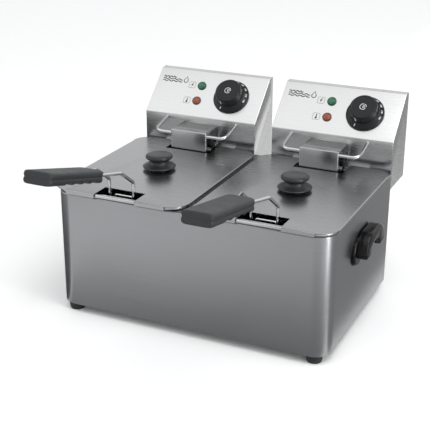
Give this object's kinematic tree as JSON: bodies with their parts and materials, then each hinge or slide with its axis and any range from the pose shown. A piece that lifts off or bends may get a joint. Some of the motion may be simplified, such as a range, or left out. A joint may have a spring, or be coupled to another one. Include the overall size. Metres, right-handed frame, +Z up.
{
  "type": "deep fryer",
  "caption": "Counter-top deep fryer with side-by-side stainless oil tanks, lift-out wire baskets, lids and rear heads that carry the heaters, dials and lamps.",
  "frame": {"origin": "on the floor, under the centre of the whole outline including the basket grips", "axes": "+X to the user's right, +Y away from the user, +Z up"},
  "size_m": [0.437, 0.5252, 0.2819],
  "materials": {
    "case_steel": "brushed stainless steel, satin",
    "panel_steel": "brushed stainless steel, light and fine grained",
    "lid_steel": "stainless steel, soft sheen",
    "tank_steel": "drawn stainless steel, bright",
    "element_steel": "heat-darkened stainless tube",
    "screw_steel": "zinc-plated steel",
    "chrome_wire": "polished chrome plate",
    "basket_wire": "nickel-plated wire",
    "black_bakelite": "black moulded phenolic, semi-gloss",
    "dial_black": "charcoal moulded plastic, satin",
    "grip_grey": "dark grey moulded plastic, fine texture",
    "foot_rubber": "matte black rubber",
    "green_lens": "clear green lens",
    "orange_lens": "clear orange lens",
    "inner_plastic": "moulded insulating plastic",
    "reset_red": "red moulded plastic"
  },
  "bodies": {
    "case": {"case_wrap": "case_steel", "top_deck": "case_steel", "rear_panel": "case_steel", "base_plate": "case_steel", "feet": "foot_rubber", "side_handle_left": "black_bakelite", "side_handle_right": "black_bakelite", "handle_screws": "screw_steel"},
    "tank_left": {"tank_left": "tank_steel"},
    "head_left": {"head_cover_left": "panel_steel", "head_back_left": "case_steel", "head_base_left": "case_steel", "element_cover_left": "lid_steel", "cover_plug_left": "black_bakelite", "drain_bar_left": "chrome_wire", "heating_element_left": "element_steel", "sensor_bulbs_left": "element_steel", "thermostat_left": "inner_plastic", "lamp_power_left": "green_lens", "lamp_heat_left": "orange_lens", "high_limit_left": "inner_plastic", "cable_gland_left": "black_bakelite", "terminal_block_left": "inner_plastic"},
    "dial_left": {"dial_knob_left": "dial_black", "thermostat_shaft_left": "screw_steel"},
    "reset_left": {"reset_button_left": "reset_red"},
    "lid_left": {"lid_left": "lid_steel", "lid_knob_left": "dial_black", "lid_screw_left": "screw_steel"},
    "basket_left": {"basket_mesh_left": "basket_wire", "basket_frame_left": "basket_wire", "handle_wire_left": "chrome_wire", "grip_top_left": "grip_grey", "grip_bottom_left": "grip_grey"},
    "tank_right": {"tank_right": "tank_steel"},
    "head_right": {"head_cover_right": "panel_steel", "head_back_right": "case_steel", "head_base_right": "case_steel", "element_cover_right": "lid_steel", "cover_plug_right": "black_bakelite", "drain_bar_right": "chrome_wire", "heating_element_right": "element_steel", "sensor_bulbs_right": "element_steel", "thermostat_right": "inner_plastic", "lamp_power_right": "green_lens", "lamp_heat_right": "orange_lens", "high_limit_right": "inner_plastic", "cable_gland_right": "black_bakelite", "terminal_block_right": "inner_plastic"},
    "dial_right": {"dial_knob_right": "dial_black", "thermostat_shaft_right": "screw_steel"},
    "reset_right": {"reset_button_right": "reset_red"},
    "lid_right": {"lid_right": "lid_steel", "lid_knob_right": "dial_black", "lid_screw_right": "screw_steel"},
    "basket_right": {"basket_mesh_right": "basket_wire", "basket_frame_right": "basket_wire", "handle_wire_right": "chrome_wire", "grip_top_right": "grip_grey", "grip_bottom_right": "grip_grey"}
  },
  "joints": [
    {"name": "tank_lift_left", "type": "slide", "parent": "case", "child": "tank_left", "axis": [0, 0, 1], "range_m": [0, 0.16]},
    {"name": "head_lift_left", "type": "slide", "parent": "tank_left", "child": "head_left", "axis": [0, 0, 1], "range_m": [0, 0.15]},
    {"name": "lid_tilt_left", "type": "hinge", "parent": "head_left", "child": "lid_left", "pos_m": [-0.1035, 0.17465, 0.215], "axis": [-1, 0, 0], "range_deg": [0, 40]},
    {"name": "basket_lift_left", "type": "slide", "parent": "head_left", "child": "basket_left", "axis": [0, 0, 1], "range_m": [0, 0.012]},
    {"name": "dial_turn_left", "type": "hinge", "parent": "head_left", "child": "dial_left", "pos_m": [-0.0657, 0.21189, 0.25333], "axis": [0, 0.6909, -0.723], "range_deg": [0, 250]},
    {"name": "reset_press_left", "type": "slide", "parent": "head_left", "child": "reset_left", "axis": [0, -1, 0], "range_m": [0, 0.0025], "stiffness_N_per_m": 400, "springref_m": -0.004},
    {"name": "tank_lift_right", "type": "slide", "parent": "case", "child": "tank_right", "axis": [0, 0, 1], "range_m": [0, 0.16]},
    {"name": "head_lift_right", "type": "slide", "parent": "tank_right", "child": "head_right", "axis": [0, 0, 1], "range_m": [0, 0.15]},
    {"name": "lid_tilt_right", "type": "hinge", "parent": "head_right", "child": "lid_right", "pos_m": [0.1035, 0.17465, 0.215], "axis": [-1, 0, 0], "range_deg": [0, 40]},
    {"name": "basket_lift_right", "type": "slide", "parent": "head_right", "child": "basket_right", "axis": [0, 0, 1], "range_m": [0, 0.012]},
    {"name": "dial_turn_right", "type": "hinge", "parent": "head_right", "child": "dial_right", "pos_m": [0.1473, 0.21189, 0.25333], "axis": [0, 0.6909, -0.723], "range_deg": [0, 250]},
    {"name": "reset_press_right", "type": "slide", "parent": "head_right", "child": "reset_right", "axis": [0, -1, 0], "range_m": [0, 0.0025], "stiffness_N_per_m": 400, "springref_m": -0.004}
  ]
}
